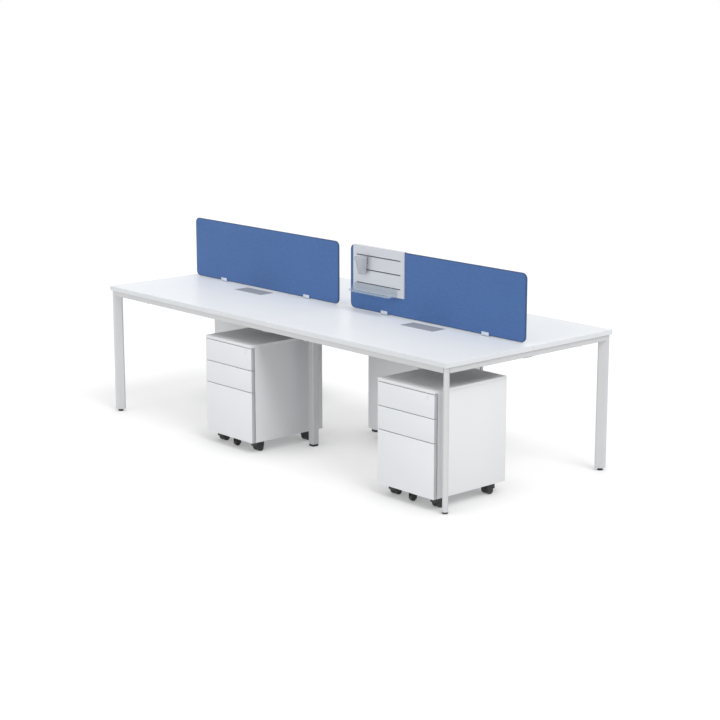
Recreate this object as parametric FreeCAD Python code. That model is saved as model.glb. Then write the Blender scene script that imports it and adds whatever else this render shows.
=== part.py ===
import FreeCAD, Part
import math
import os

# Four-seat bench desk: two seats on each long side, a fabric screen between the sides,
# and one mobile drawer pedestal under each seat.
# Millimetres, +X along the desk, the front side at -Y, +Z up, origin on the floor at the desk's centre.

# Tops
desk_length = 2800.0
desk_depth = 1200.0
desk_height = 750.0
top_thickness = 25.0
top_seam = 0.6
top_edge_radius = 1.5

# Rails round the underside of the tops
rail_height = 30.0
rail_width = 25.0
rail_wall = 2.0
rail_inset = 8.0
rail_edge_radius = 4.0
rail_joint_gap = 0.5

# Beams that carry the inner edges of the tops
beam_height = 40.0
beam_wall = 2.0
cross_beam_width = 50.0
centre_beam_width = 60.0

# Corner legs, with the rounded nose turned to the desk's corner
leg_depth = 57.0
leg_width = 29.0
leg_wall = 2.5
leg_inset = 30.5
leg_edge_radius = 3.0
leg_base_plate = 4.0

# Middle legs, set back under the cross beam
middle_leg_size = 40.0
middle_leg_wall = 2.0
middle_leg_edge_radius = 3.0
middle_leg_offset = 233.0

# Levelling feet
foot_radius = 15.0
foot_height = 12.0
foot_edge_radius = 2.0
foot_stem_radius = 5.0
foot_stem_length = 20.0
foot_pad_radius = 8.0
stem_clearance = 0.05

# Screws that hold the tops down
screw_shank_radius = 2.5
screw_head_radius = 6.0
screw_head_height = 4.0
screw_bite = 15.0
screw_clearance = 0.1
centre_screw_offset = 18.0
side_screw_shares = (0.25, 0.75)
end_screw_share = 0.615

# Screens and their clips
screen_end_margin = 50.0
screen_height = 350.0
screen_thickness = 12.0
screen_lift = 5.0
screen_corner_radius = 30.0
screen_edge_radius = 3.0
clip_width = 50.0
clip_height = 22.0
clip_sheet = 4.0
clip_end_distance = 273.0

# Cable flaps and the frames that they close
flap_frame_length = 240.0
flap_frame_depth = 95.0
flap_frame_offset = 35.0
flap_flange_width = 5.0
flap_flange_thickness = 1.2
flap_frame_wall = 4.0
flap_frame_clearance = 0.3
flap_thickness = 4.0
flap_gap = 0.5
flap_ledge_depth = 4.0
flap_ledge_thickness = 2.0
flap_seat_gap = 0.3
flap_pin_radius = 1.0
flap_pin_length = 10.0
flap_pin_clearance = 0.05

# Tool board that hangs on the right screen
board_width = 400.0
board_height = 250.0
board_thickness = 7.0
board_inset = 32.0
board_gap = 0.3
board_corner_radius = 3.0
hook_sheet = 3.0
hook_drop = 25.0
slot_length = 346.0
slot_height = 6.0
slot_depth = 5.0
slot_first = 52.0
slot_pitch = 76.0
slot_count = 3

# Tongues that hang the pen cup and the tray in the slots
tongue_thickness = 2.0
tongue_depth = 4.0
tongue_gap = 0.3

# Pen cup
cup_top_radius = 35.0
cup_bottom_radius = 22.0
cup_height = 98.0
cup_wall = 2.0
cup_inset = 100.0
cup_plate_width = 40.0
cup_plate_height = 45.0
cup_plate_thickness = 3.0

# Clear tray
tray_length = 326.0
tray_depth = 66.0
tray_inset = 22.0
tray_wall = 3.0
tray_back_height = 42.0
tray_lip_height = 10.0
tray_corner_radius = 18.0
tray_tongue_margin = 10.0

# Pedestals
pedestal_width = 400.0
pedestal_depth = 500.0
pedestal_head_room = 95.0
pedestal_side_margin = 80.0
pedestal_lift = 60.0
case_board = 16.0
case_back_board = 8.0
case_floor_recess = 2.0
cap_height = 16.0
cap_edge_radius = 1.5

# Drawers
front_thickness = 20.0
front_gap = 3.0
front_edge_radius = 1.5
grip_groove = 6.0
shallow_front_height = 118.0
drawer_board = 12.0
drawer_floor_board = 6.0
drawer_floor_rise = 14.0
drawer_floor_gap = 4.0
drawer_head_room = 30.0
drawer_back_gap = 18.0
runner_thickness = 6.0
runner_height = 24.0
runner_back_gap = 26.0
runner_gap = 0.5

# Drawer lock
lock_radius = 8.0
lock_rim_radius = 10.0
lock_rim_thickness = 1.5
lock_rim_gap = 0.3
lock_clearance = 0.05
lock_side_distance = 45.0
lock_top_distance = 19.0
lock_tail = 2.5
lock_cam_length = 14.0
lock_cam_width = 8.0
lock_cam_thickness = 2.0
key_slot_length = 8.0
key_slot_width = 1.6
key_slot_depth = 1.0

# Twin-wheel casters
caster_wheel_radius = 19.0
caster_wheel_width = 19.0
caster_wheel_edge_radius = 3.0
caster_web_width = 11.0
caster_wheel_gap = 0.5
caster_web_margin = 2.0
caster_trail = 16.0
caster_neck_radius = 9.0
caster_hood_front = 14.0
caster_hood_back = 22.0
caster_hood_bottom = 26.0
caster_hood_top = 56.0
caster_hood_radius = 7.0
caster_hood_edge_radius = 3.0
caster_well_gap = 0.8
caster_stem_radius = 5.0
caster_stem_length = 8.0
caster_seat_gap = 0.3
caster_axle_radius = 2.5
caster_axle_clearance = 0.05
caster_side_inset = 50.0
caster_front_inset = 65.0
caster_back_inset = 60.0

# Support wheel under the file drawer, just clear of the floor
support_wheel_radius = 17.0
support_wheel_width = 18.0
support_floor_gap = 2.0
support_inset = 54.0
support_plate_width = 32.0
support_plate_front = 10.0
support_plate_thickness = 4.0
support_cheek_thickness = 3.0
support_cheek_depth = 34.0
support_cheek_drop = 6.0
support_hood_gap = 4.0
support_wheel_gap = 0.5
support_axle_radius = 2.5

# One overrun serves every through cut
overrun = 5.0

# How near an edge must lie to a plane or a direction to be taken for a rounding
plane_tolerance = 0.001
parallel_share = 0.999

# Places worked out from the sizes above
seat_length = desk_length / 2
seat_depth = desk_depth / 2
top_bottom = desk_height - top_thickness
rail_bottom = top_bottom - rail_height
rail_outer_y = seat_depth - rail_inset
rail_inner_y = rail_outer_y - rail_width
rail_outer_x = seat_length - rail_inset
rail_inner_x = rail_outer_x - rail_width
beam_bottom = top_bottom - beam_height
leg_x = seat_length - leg_inset
leg_y = seat_depth - leg_inset
flap_open_half_length = flap_frame_length / 2 - flap_flange_width - flap_frame_wall
flap_open_half_depth = flap_frame_depth / 2 - flap_flange_width - flap_frame_wall
flap_axis_y = flap_open_half_depth - flap_gap - flap_thickness / 2
flap_axis_z = desk_height + flap_flange_thickness - flap_thickness / 2
screen_length = seat_length - 2 * screen_end_margin
screen_bottom = desk_height + screen_lift
screen_top = screen_bottom + screen_height
pedestal_height = rail_bottom - pedestal_head_room
case_top = pedestal_height - cap_height
case_front = front_thickness + grip_groove
case_floor = pedestal_lift + case_floor_recess
case_back = pedestal_depth - case_back_board
case_half_room = pedestal_width / 2 - case_board
runner_back = case_back - runner_back_gap
box_half_width = case_half_room - 2 * runner_thickness - runner_gap
box_back = case_back - drawer_back_gap

UP = FreeCAD.Vector(0, 0, 1)
ALONG_X = FreeCAD.Vector(1, 0, 0)
ALONG_Y = FreeCAD.Vector(0, 1, 0)
ORIGIN = FreeCAD.Vector(0, 0, 0)
SIDES = (-1, 1)
HALF_TURN = 180.0


def box(x0, x1, y0, y1, z0, z1):
    """Box between two corners, given in any order."""
    low = FreeCAD.Vector(min(x0, x1), min(y0, y1), min(z0, z1))
    return Part.makeBox(abs(x1 - x0), abs(y1 - y0), abs(z1 - z0), low)


def rod(radius, length, x, y, z, axis):
    """Cylinder that starts at a point and runs along an axis."""
    return Part.makeCylinder(radius, length, FreeCAD.Vector(x, y, z), axis)


def placed(shape, x, y, turn=0.0):
    """Copy of a shape, turned about the Z axis and then moved."""
    copy = shape.copy()
    copy.rotate(ORIGIN, UP, turn)
    copy.translate(FreeCAD.Vector(x, y, 0))
    return copy


def edges_along(edges, axis):
    """Straight edges that run along an axis."""
    straight = [edge for edge in edges if isinstance(edge.Curve, Part.Line)]
    return [edge for edge in straight if abs(edge.Curve.Direction.dot(axis)) > parallel_share]


def edges_at(edges, axis, place):
    """Edges that lie in the plane square to an axis at a place along it."""
    return [edge for edge in edges
            if all(abs(vertex.Point.dot(axis) - place) < plane_tolerance for vertex in edge.Vertexes)]


def leg_prism(depth, width, z0, z1):
    """Upright bar with a half-round nose at +X and a flat inner end at -X, about the Z axis."""
    nose = depth / 2 - width / 2
    inner = -depth / 2
    corners = [FreeCAD.Vector(inner, -width / 2, z0), FreeCAD.Vector(nose, -width / 2, z0),
               FreeCAD.Vector(nose, width / 2, z0), FreeCAD.Vector(inner, width / 2, z0)]
    tip = FreeCAD.Vector(depth / 2, 0, z0)
    outline = Part.Wire([
        Part.LineSegment(corners[0], corners[1]).toShape(),
        Part.Arc(corners[1], tip, corners[2]).toShape(),
        Part.LineSegment(corners[2], corners[3]).toShape(),
        Part.LineSegment(corners[3], corners[0]).toShape(),
    ])
    return Part.Face(outline).extrude(FreeCAD.Vector(0, 0, z1 - z0))


def corner_turn(side_x, side_y):
    """Turn about Z that points a leg's nose at one corner of the desk."""
    return math.degrees(math.atan2(side_y, side_x))


def corner_leg(side_x, side_y):
    """Hollow corner leg with a base plate bored for its foot's stem."""
    leg = leg_prism(leg_depth, leg_width, foot_height, top_bottom)
    leg = leg.makeFillet(leg_edge_radius, edges_along(edges_at(leg.Edges, ALONG_X, -leg_depth / 2), UP))
    hollow = leg_prism(leg_depth - 2 * leg_wall, leg_width - 2 * leg_wall,
                       foot_height + leg_base_plate, top_bottom + overrun)
    bore = rod(foot_stem_radius + stem_clearance, leg_base_plate + 2 * overrun,
               0, 0, foot_height - overrun, UP)
    return placed(leg.cut(hollow).cut(bore), side_x * leg_x, side_y * leg_y, corner_turn(side_x, side_y))


def leg_clearance(side_x, side_y):
    """Space that rail ends leave for a corner leg, with the joint's gap."""
    space = leg_prism(leg_depth + 2 * rail_joint_gap, leg_width + 2 * rail_joint_gap, 0, desk_height)
    return placed(space, side_x * leg_x, side_y * leg_y, corner_turn(side_x, side_y))


def middle_leg(side_y):
    """Square middle leg from its foot to the cross beam."""
    half = middle_leg_size / 2
    leg = box(-half, half, -half, half, foot_height, beam_bottom)
    leg = leg.makeFillet(middle_leg_edge_radius, edges_along(leg.Edges, UP))
    inner = half - middle_leg_wall
    hollow = box(-inner, inner, -inner, inner, foot_height + leg_base_plate, beam_bottom + overrun)
    bore = rod(foot_stem_radius + stem_clearance, leg_base_plate + 2 * overrun,
               0, 0, foot_height - overrun, UP)
    return placed(leg.cut(hollow).cut(bore), 0, side_y * middle_leg_offset)


def foot_stem():
    """Threaded stem of a foot, which stands in the leg's base plate."""
    return rod(foot_stem_radius, foot_stem_length, 0, 0, foot_height, UP)


def corner_foot():
    """Round levelling foot of a corner leg."""
    pad = rod(foot_radius, foot_height, 0, 0, 0, UP)
    pad = pad.makeFillet(foot_edge_radius, edges_at(pad.Edges, UP, foot_height))
    return pad.fuse(foot_stem()).removeSplitter()


def middle_foot():
    """Square levelling foot of a middle leg."""
    half = middle_leg_size / 2
    pad = box(-half, half, -half, half, 0, foot_height)
    pad = pad.makeFillet(foot_pad_radius, edges_along(pad.Edges, UP))
    return pad.fuse(foot_stem()).removeSplitter()


def levelling_feet():
    """One foot under each leg."""
    feet = [placed(corner_foot(), side_x * leg_x, side_y * leg_y) for side_x in SIDES for side_y in SIDES]
    return feet + [placed(middle_foot(), 0, side_y * middle_leg_offset) for side_y in SIDES]


def screw_places():
    """Place of each top screw, with the underside of the rail or beam that it goes through."""
    rail_y = (rail_outer_y + rail_inner_y) / 2
    rail_x = (rail_outer_x + rail_inner_x) / 2
    places = []
    for side_x in SIDES:
        for side_y in SIDES:
            for share in side_screw_shares:
                places.append((side_x * share * seat_length, side_y * rail_y, rail_bottom))
                places.append((side_x * share * seat_length, side_y * centre_screw_offset, beam_bottom))
            places.append((side_x * rail_x, side_y * end_screw_share * seat_depth, rail_bottom))
    return places


def top_screw(x, y, z):
    """Screw that holds a top down, with its head under the rail or beam."""
    head = rod(screw_head_radius, screw_head_height, x, y, z - screw_head_height, UP)
    shank = rod(screw_shank_radius, top_bottom + screw_bite - z, x, y, z, UP)
    return head.fuse(shank).removeSplitter()


def screw_hole(x, y, z):
    """Hole for one top screw, from under its rail or beam to past its tip."""
    radius = screw_shank_radius + screw_clearance
    return rod(radius, top_bottom + screw_bite + screw_clearance - z + overrun, x, y, z - overrun, UP)


def bored(shape):
    """Shape with the holes of the top screws that pass through it."""
    limits = shape.BoundBox
    for x, y, z in screw_places():
        if limits.XMin < x < limits.XMax and limits.YMin < y < limits.YMax:
            shape = shape.cut(screw_hole(x, y, z))
    return shape


def side_rail(side_y):
    """Square-tube rail along one long side, trimmed to the corner legs."""
    outer, inner = side_y * rail_outer_y, side_y * rail_inner_y
    rail = box(-leg_x, leg_x, outer, inner, rail_bottom, top_bottom)
    rail = rail.makeFillet(rail_edge_radius, edges_along(edges_at(rail.Edges, UP, rail_bottom), ALONG_X))
    hollow = box(-seat_length, seat_length, outer - side_y * rail_wall, inner + side_y * rail_wall,
                 rail_bottom + rail_wall, top_bottom - rail_wall)
    rail = rail.cut(hollow)
    for side_x in SIDES:
        rail = rail.cut(leg_clearance(side_x, side_y))
    return bored(rail)


def end_rail(side_x):
    """Square-tube rail along one short end, trimmed to the corner legs."""
    outer, inner = side_x * rail_outer_x, side_x * rail_inner_x
    rail = box(outer, inner, -leg_y, leg_y, rail_bottom, top_bottom)
    rail = rail.makeFillet(rail_edge_radius, edges_along(edges_at(rail.Edges, UP, rail_bottom), ALONG_Y))
    hollow = box(outer - side_x * rail_wall, inner + side_x * rail_wall, -seat_depth, seat_depth,
                 rail_bottom + rail_wall, top_bottom - rail_wall)
    rail = rail.cut(hollow)
    for side_y in SIDES:
        rail = rail.cut(leg_clearance(side_x, side_y))
    return bored(rail)


def cross_beam():
    """Tube between the side rails that carries the seam between left and right tops."""
    half = cross_beam_width / 2
    beam = box(-half, half, -rail_inner_y, rail_inner_y, beam_bottom, top_bottom)
    hollow = box(-half + beam_wall, half - beam_wall, -seat_depth, seat_depth,
                 beam_bottom + beam_wall, top_bottom - beam_wall)
    return beam.cut(hollow)


def centre_beam(side_x):
    """Tube along the desk's centre line that carries the seam under one screen."""
    half = centre_beam_width / 2
    start, end = side_x * cross_beam_width / 2, side_x * rail_inner_x
    beam = box(start, end, -half, half, beam_bottom, top_bottom)
    hollow = box(start - side_x * overrun, end + side_x * overrun, -half + beam_wall, half - beam_wall,
                 beam_bottom + beam_wall, top_bottom - beam_wall)
    return bored(beam.cut(hollow))


def flap_place(side_x, side_y):
    """Centre of one seat's cable flap frame."""
    return side_x * seat_length / 2, side_y * (flap_frame_offset + flap_frame_depth / 2)


def desk_top(side_x, side_y):
    """Top of one seat, with the cut-out for its cable flap."""
    seam = top_seam / 2
    top = box(side_x * seam, side_x * seat_length, side_y * seam, side_y * seat_depth,
              top_bottom, desk_height)
    top = top.makeFillet(top_edge_radius, top.Edges)
    x, y = flap_place(side_x, side_y)
    half_length = flap_frame_length / 2 - flap_flange_width + flap_frame_clearance
    half_depth = flap_frame_depth / 2 - flap_flange_width + flap_frame_clearance
    cutout = box(x - half_length, x + half_length, y - half_depth, y + half_depth,
                 top_bottom - overrun, desk_height + overrun)
    return bored(top.cut(cutout))


def flap_frame():
    """Flanged frame of a cable flap, with its hinge side at +Y, about its centre."""
    half_length, half_depth = flap_frame_length / 2, flap_frame_depth / 2
    flange = box(-half_length, half_length, -half_depth, half_depth,
                 desk_height, desk_height + flap_flange_thickness)
    body_length, body_depth = half_length - flap_flange_width, half_depth - flap_flange_width
    body = box(-body_length, body_length, -body_depth, body_depth, top_bottom, desk_height)
    opening = box(-flap_open_half_length, flap_open_half_length, -flap_open_half_depth, flap_open_half_depth,
                  top_bottom - overrun, desk_height + overrun)
    ledge_top = flap_axis_z - flap_thickness / 2 - flap_seat_gap
    ledge = box(-flap_open_half_length, flap_open_half_length,
                -flap_open_half_depth, -flap_open_half_depth + flap_ledge_depth,
                ledge_top - flap_ledge_thickness, ledge_top)
    return flange.fuse(body).cut(opening).fuse(ledge).removeSplitter()


def flap_pin(side, clearance):
    """Pin that stands in from one end of a cable flap's frame, or its bore where it has a clearance."""
    return rod(flap_pin_radius + clearance, flap_pin_length + 2 * clearance,
               side * (flap_open_half_length + clearance), flap_axis_y, flap_axis_z, ALONG_X * -side)


def flap_lid():
    """Lid of a cable flap, rounded about its hinge axis at +Y, about its frame's centre."""
    half_length = flap_open_half_length - flap_gap
    plate = box(-half_length, half_length, -flap_open_half_depth + flap_gap, flap_axis_y,
                flap_axis_z - flap_thickness / 2, flap_axis_z + flap_thickness / 2)
    knuckle = rod(flap_thickness / 2, 2 * half_length, -half_length, flap_axis_y, flap_axis_z, ALONG_X)
    lid = plate.fuse(knuckle).removeSplitter()
    for side in SIDES:
        lid = lid.cut(flap_pin(side, flap_pin_clearance))
    return lid


def flap_pins():
    """Two pins of a cable flap."""
    return [flap_pin(side, 0) for side in SIDES]


def at_seat(shape, side_x, side_y):
    """Copy of a cable flap's piece at one seat, with its hinge side towards the screen."""
    x, y = flap_place(side_x, side_y)
    turn = 0.0 if side_y < 0 else HALF_TURN
    return placed(shape, x, y, turn)


def screen(side_x):
    """Padded screen of one half of the desk, with rounded corners."""
    centre = side_x * seat_length / 2
    half = screen_length / 2
    panel = box(centre - half, centre + half, -screen_thickness / 2, screen_thickness / 2,
                screen_bottom, screen_top)
    panel = panel.makeFillet(screen_corner_radius, edges_along(panel.Edges, ALONG_Y))
    rims = [rim for side in SIDES for rim in edges_at(panel.Edges, ALONG_Y, side * screen_thickness / 2)]
    return panel.makeFillet(screen_edge_radius, rims)


def screen_clip(x):
    """Clip that stands on the tops and holds the lower edge of a screen."""
    half = clip_width / 2
    inner = screen_thickness / 2
    block = box(x - half, x + half, -inner - clip_sheet, inner + clip_sheet,
                desk_height, desk_height + clip_height)
    groove = box(x - clip_width, x + clip_width, -inner, inner,
                 screen_bottom, desk_height + clip_height + overrun)
    return block.cut(groove)


def screen_clips():
    """Two clips under each screen."""
    reach = screen_length / 2 - clip_end_distance
    return [screen_clip(side_x * seat_length / 2 + end * reach) for side_x in SIDES for end in SIDES]


# The tool board's own places
board_left = screen_end_margin + board_inset
board_right = board_left + board_width
board_back = -screen_thickness / 2 - board_gap
board_front = board_back - board_thickness
board_top = screen_top + board_gap + hook_sheet
slot_heights = [board_top - slot_first - slot_pitch * row for row in range(slot_count)]


def tongue_bottom(row):
    """Height of the underside of a tongue that hangs in one slot."""
    return slot_heights[row] - slot_height / 2 + tongue_gap


def tool_board():
    """Board with slots in its face and a hook over the screen's upper edge."""
    panel = box(board_left, board_right, board_front, board_back, board_top - board_height, board_top)
    panel = panel.makeFillet(board_corner_radius, edges_along(panel.Edges, ALONG_Y))
    middle = (board_left + board_right) / 2
    hook_back = screen_thickness / 2 + board_gap
    hook_left, hook_right = board_left + board_corner_radius, board_right - board_corner_radius
    flange = box(hook_left, hook_right, board_back - hook_sheet, hook_back + hook_sheet,
                 board_top - hook_sheet, board_top)
    lip = box(hook_left, hook_right, hook_back, hook_back + hook_sheet, board_top - hook_drop, board_top)
    board = panel.fuse(flange).fuse(lip).removeSplitter()
    for height in slot_heights:
        slot = box(middle - slot_length / 2, middle + slot_length / 2,
                   board_front - overrun, board_front + slot_depth,
                   height - slot_height / 2, height + slot_height / 2)
        board = board.cut(slot)
    return board


def cup_taper(x, back, bottom_radius, top_radius, floor):
    """Tapered round body that stands upright at its back and leans out at its front."""
    ends = ((bottom_radius, floor), (top_radius, floor + cup_height))
    rings = [Part.makeCircle(radius, FreeCAD.Vector(x, back - radius, z), UP) for radius, z in ends]
    return Part.makeLoft([Part.Wire(ring) for ring in rings], True, True)


def pen_cup():
    """Tapered round cup with a back plate and a tongue in the top slot."""
    x = board_left + cup_inset
    rim = tongue_bottom(0) + tongue_thickness
    floor = rim - cup_height
    plate_front = board_front - tongue_gap - cup_plate_thickness
    back = plate_front + cup_wall
    body = cup_taper(x, back, cup_bottom_radius, cup_top_radius, floor)
    hollow = cup_taper(x, back - cup_wall, cup_bottom_radius - cup_wall, cup_top_radius - cup_wall,
                       floor + cup_wall)
    half = cup_plate_width / 2
    plate = box(x - half, x + half, plate_front, board_front - tongue_gap, rim - cup_plate_height, rim)
    bridge = box(x - half, x + half, back - cup_bottom_radius, plate_front, rim - cup_plate_height, rim)
    tongue = box(x - half, x + half, plate_front, board_front + tongue_depth, rim - tongue_thickness, rim)
    holder = body.fuse(bridge).fuse(plate).fuse(tongue).removeSplitter()
    return holder.cut(hollow)


def tray_end(x, back, shoulder, bottom, top):
    """End wall of the tray from a place along X, which slopes down from the back plate to the lip."""
    corners = [(back, bottom), (back, top), (shoulder, bottom + tray_lip_height), (shoulder, bottom)]
    points = [FreeCAD.Vector(x, y, z) for y, z in corners]
    return Part.Face(Part.makePolygon(points + points[:1])).extrude(FreeCAD.Vector(tray_wall, 0, 0))


def letter_tray():
    """Clear tray with a back plate, sloping ends, a low front lip and a tongue in the lowest slot."""
    left = board_left + tray_inset
    right = left + tray_length
    top = tongue_bottom(slot_count - 1) + tongue_thickness
    bottom = top - tray_back_height
    back = board_front - tongue_gap
    front = back - tray_depth
    block = box(left, right, front, back, bottom, bottom + tray_lip_height)
    block = block.makeFillet(tray_corner_radius, edges_at(edges_along(block.Edges, UP), ALONG_Y, front))
    room = box(left + tray_wall, right - tray_wall, front + tray_wall, back - tray_wall,
               bottom + tray_wall, top)
    room = room.makeFillet(tray_corner_radius - tray_wall,
                           edges_at(edges_along(room.Edges, UP), ALONG_Y, front + tray_wall))
    plate = box(left, right, back - tray_wall, back, bottom, top)
    tongue = box(left + tray_tongue_margin, right - tray_tongue_margin, back - tray_wall,
                 board_front + tongue_depth, top - tongue_thickness, top)
    tray = block.cut(room).fuse(plate).fuse(tongue)
    for x in (left, right - tray_wall):
        tray = tray.fuse(tray_end(x, back, front + tray_corner_radius, bottom, top))
    return tray.removeSplitter()


# Pedestals are built about their own front centre on the floor, facing -Y
drawer_names = ("top", "middle", "file")
shallow_step = shallow_front_height + front_gap
file_front_top = case_top - front_gap - 2 * shallow_step
drawer_fronts = {
    "top": (case_top - shallow_step, case_top - front_gap),
    "middle": (case_top - 2 * shallow_step, case_top - front_gap - shallow_step),
    "file": (pedestal_lift, file_front_top),
}


def caster_places():
    """Pivot of each caster, by its corner of the pedestal, with the turn that trails its wheels inwards."""
    x = pedestal_width / 2 - caster_side_inset
    back = pedestal_depth - caster_back_inset
    return {
        "near_left": (-x, caster_front_inset, 0.0),
        "near_right": (x, caster_front_inset, 0.0),
        "far_left": (-x, back, HALF_TURN),
        "far_right": (x, back, HALF_TURN),
    }


def box_limits(drawer):
    """Lower and upper edge of a drawer's box."""
    low, high = drawer_fronts[drawer]
    floor = case_floor + case_board + drawer_floor_gap if drawer == "file" else low + drawer_floor_rise
    return floor, high - drawer_head_room


def runner_limits(drawer):
    """Lower and upper edge of a drawer's runners."""
    low, high = box_limits(drawer)
    middle = (low + high) / 2
    return middle - runner_height / 2, middle + runner_height / 2


def fixed_runners():
    """Runner rails on the inner faces of the case, one pair per drawer."""
    rails = []
    for drawer in drawer_names:
        low, high = runner_limits(drawer)
        for side in SIDES:
            rails.append(box(side * (case_half_room - runner_thickness), side * case_half_room,
                             case_front, runner_back, low, high))
    return rails


def case_boards():
    """Cap, sides, back and floor of the case, with the floor bored for the caster stems."""
    half = pedestal_width / 2
    cap = box(-half, half, 0, pedestal_depth, case_top, pedestal_height)
    cap = cap.makeFillet(cap_edge_radius, edges_at(cap.Edges, UP, pedestal_height))
    sides = [box(side * case_half_room, side * half, case_front, pedestal_depth, pedestal_lift, case_top)
             for side in SIDES]
    back = box(-case_half_room, case_half_room, case_back, pedestal_depth, pedestal_lift, case_top)
    floor = box(-case_half_room, case_half_room, case_front, case_back, case_floor, case_floor + case_board)
    for x, y, _ in caster_places().values():
        floor = floor.cut(rod(caster_stem_radius + stem_clearance, caster_stem_length + overrun, x, y,
                              case_floor - overrun, UP))
    return [cap] + sides + [back, floor]


def pedestal_case():
    """Boards of the case, with the rails of its drawer runners."""
    return case_boards() + fixed_runners()


def drawer_front(drawer):
    """Front of one drawer, as wide as the case."""
    low, high = drawer_fronts[drawer]
    half = pedestal_width / 2
    panel = box(-half, half, 0, front_thickness, low, high)
    return panel.makeFillet(front_edge_radius, edges_at(panel.Edges, ALONG_Y, 0))


def drawer_box(drawer):
    """Sides, back and floor of one drawer's open box, behind its front."""
    low, high = box_limits(drawer)
    inner = box_half_width - drawer_board
    sides = [box(side * inner, side * box_half_width, front_thickness, box_back, low, high) for side in SIDES]
    back = box(-inner, inner, box_back - drawer_board, box_back, low, high)
    floor = box(-inner, inner, front_thickness, box_back - drawer_board, low, low + drawer_floor_board)
    return sides + [back, floor]


def drawer_solids(drawer):
    """Front, box and moving runners of one drawer."""
    low, high = runner_limits(drawer)
    runners = [box(side * box_half_width, side * (box_half_width + runner_thickness),
                   case_front, runner_back, low, high)
               for side in SIDES]
    return [drawer_front(drawer)] + drawer_box(drawer) + runners


def lock_place():
    """Side distance and height of the lock's axis in the top drawer's front."""
    return pedestal_width / 2 - lock_side_distance, drawer_fronts["top"][1] - lock_top_distance


def top_drawer():
    """Top drawer, with the lock's hole through its front."""
    x, z = lock_place()
    hole = rod(lock_radius + lock_clearance, front_thickness + overrun, x, -overrun, z, ALONG_Y)
    solids = drawer_solids("top")
    return [solids[0].cut(hole)] + solids[1:]


def lock_barrel():
    """Lock barrel with its rim, key slot and cam."""
    x, z = lock_place()
    rim_front = -lock_rim_gap - lock_rim_thickness
    rim = rod(lock_rim_radius, lock_rim_thickness, x, rim_front, z, ALONG_Y)
    tail = front_thickness + lock_tail
    barrel = rod(lock_radius, tail - rim_front, x, rim_front, z, ALONG_Y)
    half = lock_cam_width / 2
    cam = box(x - half, x + half, tail, tail + lock_cam_thickness, z - half, z + lock_cam_length)
    slot = box(x - key_slot_width / 2, x + key_slot_width / 2,
               rim_front - overrun, rim_front + key_slot_depth,
               z - key_slot_length / 2, z + key_slot_length / 2)
    return rim.fuse(barrel).fuse(cam).removeSplitter().cut(slot)


def support_wheel_solids():
    """Bracket, wheel and axle that keep the opened file drawer from tipping the pedestal."""
    centre = support_floor_gap + support_wheel_radius
    plate_low = pedestal_lift - support_plate_thickness
    half = support_plate_width / 2
    back = support_inset + support_cheek_depth / 2
    bracket = box(-half, half, support_plate_front, back, plate_low, pedestal_lift)
    cheek_inner = support_wheel_width / 2 + support_wheel_gap
    cheek_outer = cheek_inner + support_cheek_thickness
    for side in SIDES:
        cheek = box(side * cheek_inner, side * cheek_outer, support_inset - support_cheek_depth / 2, back,
                    centre - support_cheek_drop, plate_low)
        bracket = bracket.fuse(cheek)
    hood = box(-cheek_outer, cheek_outer, support_inset - support_cheek_depth / 2, back,
               centre + support_wheel_radius + support_hood_gap, plate_low)
    bracket = bracket.fuse(hood)
    bore = rod(support_axle_radius + caster_axle_clearance, 2 * (cheek_outer + overrun),
               -cheek_outer - overrun, support_inset, centre, ALONG_X)
    bracket = bracket.removeSplitter().cut(bore)
    wheel = rod(support_wheel_radius, support_wheel_width,
                -support_wheel_width / 2, support_inset, centre, ALONG_X)
    rims = [rim for side in SIDES for rim in edges_at(wheel.Edges, ALONG_X, side * support_wheel_width / 2)]
    wheel = wheel.makeFillet(caster_wheel_edge_radius, rims).cut(bore)
    axle = rod(support_axle_radius, 2 * cheek_outer, -cheek_outer, support_inset, centre, ALONG_X)
    return [bracket, wheel, axle]


def caster_solids():
    """Hood, two wheels and axle of one caster, about its pivot, with the wheels trailing to +Y."""
    centre = caster_wheel_radius
    web = caster_web_width / 2
    neck_high = case_floor - caster_seat_gap
    inner = web + caster_wheel_gap
    reach = inner + caster_wheel_width
    bore = rod(caster_axle_radius + caster_axle_clearance, 2 * (reach + overrun), -reach - overrun,
               caster_trail, centre, ALONG_X)
    disc = rod(caster_wheel_radius - caster_web_margin, caster_web_width, -web, caster_trail, centre, ALONG_X)
    bridge = box(-web, web, -caster_neck_radius, caster_trail, centre, caster_hood_top)
    neck = rod(caster_neck_radius, neck_high - caster_hood_top, 0, 0, caster_hood_top, UP)
    stem = rod(caster_stem_radius, caster_stem_length, 0, 0, neck_high, UP)
    cover = box(-reach, reach, -caster_hood_front, caster_trail + caster_hood_back,
                caster_hood_bottom, caster_hood_top)
    cover = cover.makeFillet(caster_hood_radius, edges_along(cover.Edges, UP))
    cover = cover.makeFillet(caster_hood_edge_radius, edges_at(cover.Edges, UP, caster_hood_top))
    well_length = reach + overrun - web
    for start in (web, -reach - overrun):
        well = rod(caster_wheel_radius + caster_well_gap, well_length, start, caster_trail, centre, ALONG_X)
        cover = cover.cut(well)
    hood = cover.fuse(disc).fuse(bridge).fuse(neck).fuse(stem).removeSplitter().cut(bore)
    wheel = rod(caster_wheel_radius, caster_wheel_width, inner, caster_trail, centre, ALONG_X)
    wheel = wheel.makeFillet(caster_wheel_edge_radius, edges_at(wheel.Edges, ALONG_X, reach)).cut(bore)
    other_wheel = wheel.mirror(ORIGIN, ALONG_X)
    axle = rod(caster_axle_radius, 2 * reach, -reach, caster_trail, centre, ALONG_X)
    return [hood, wheel, other_wheel, axle]


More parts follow.
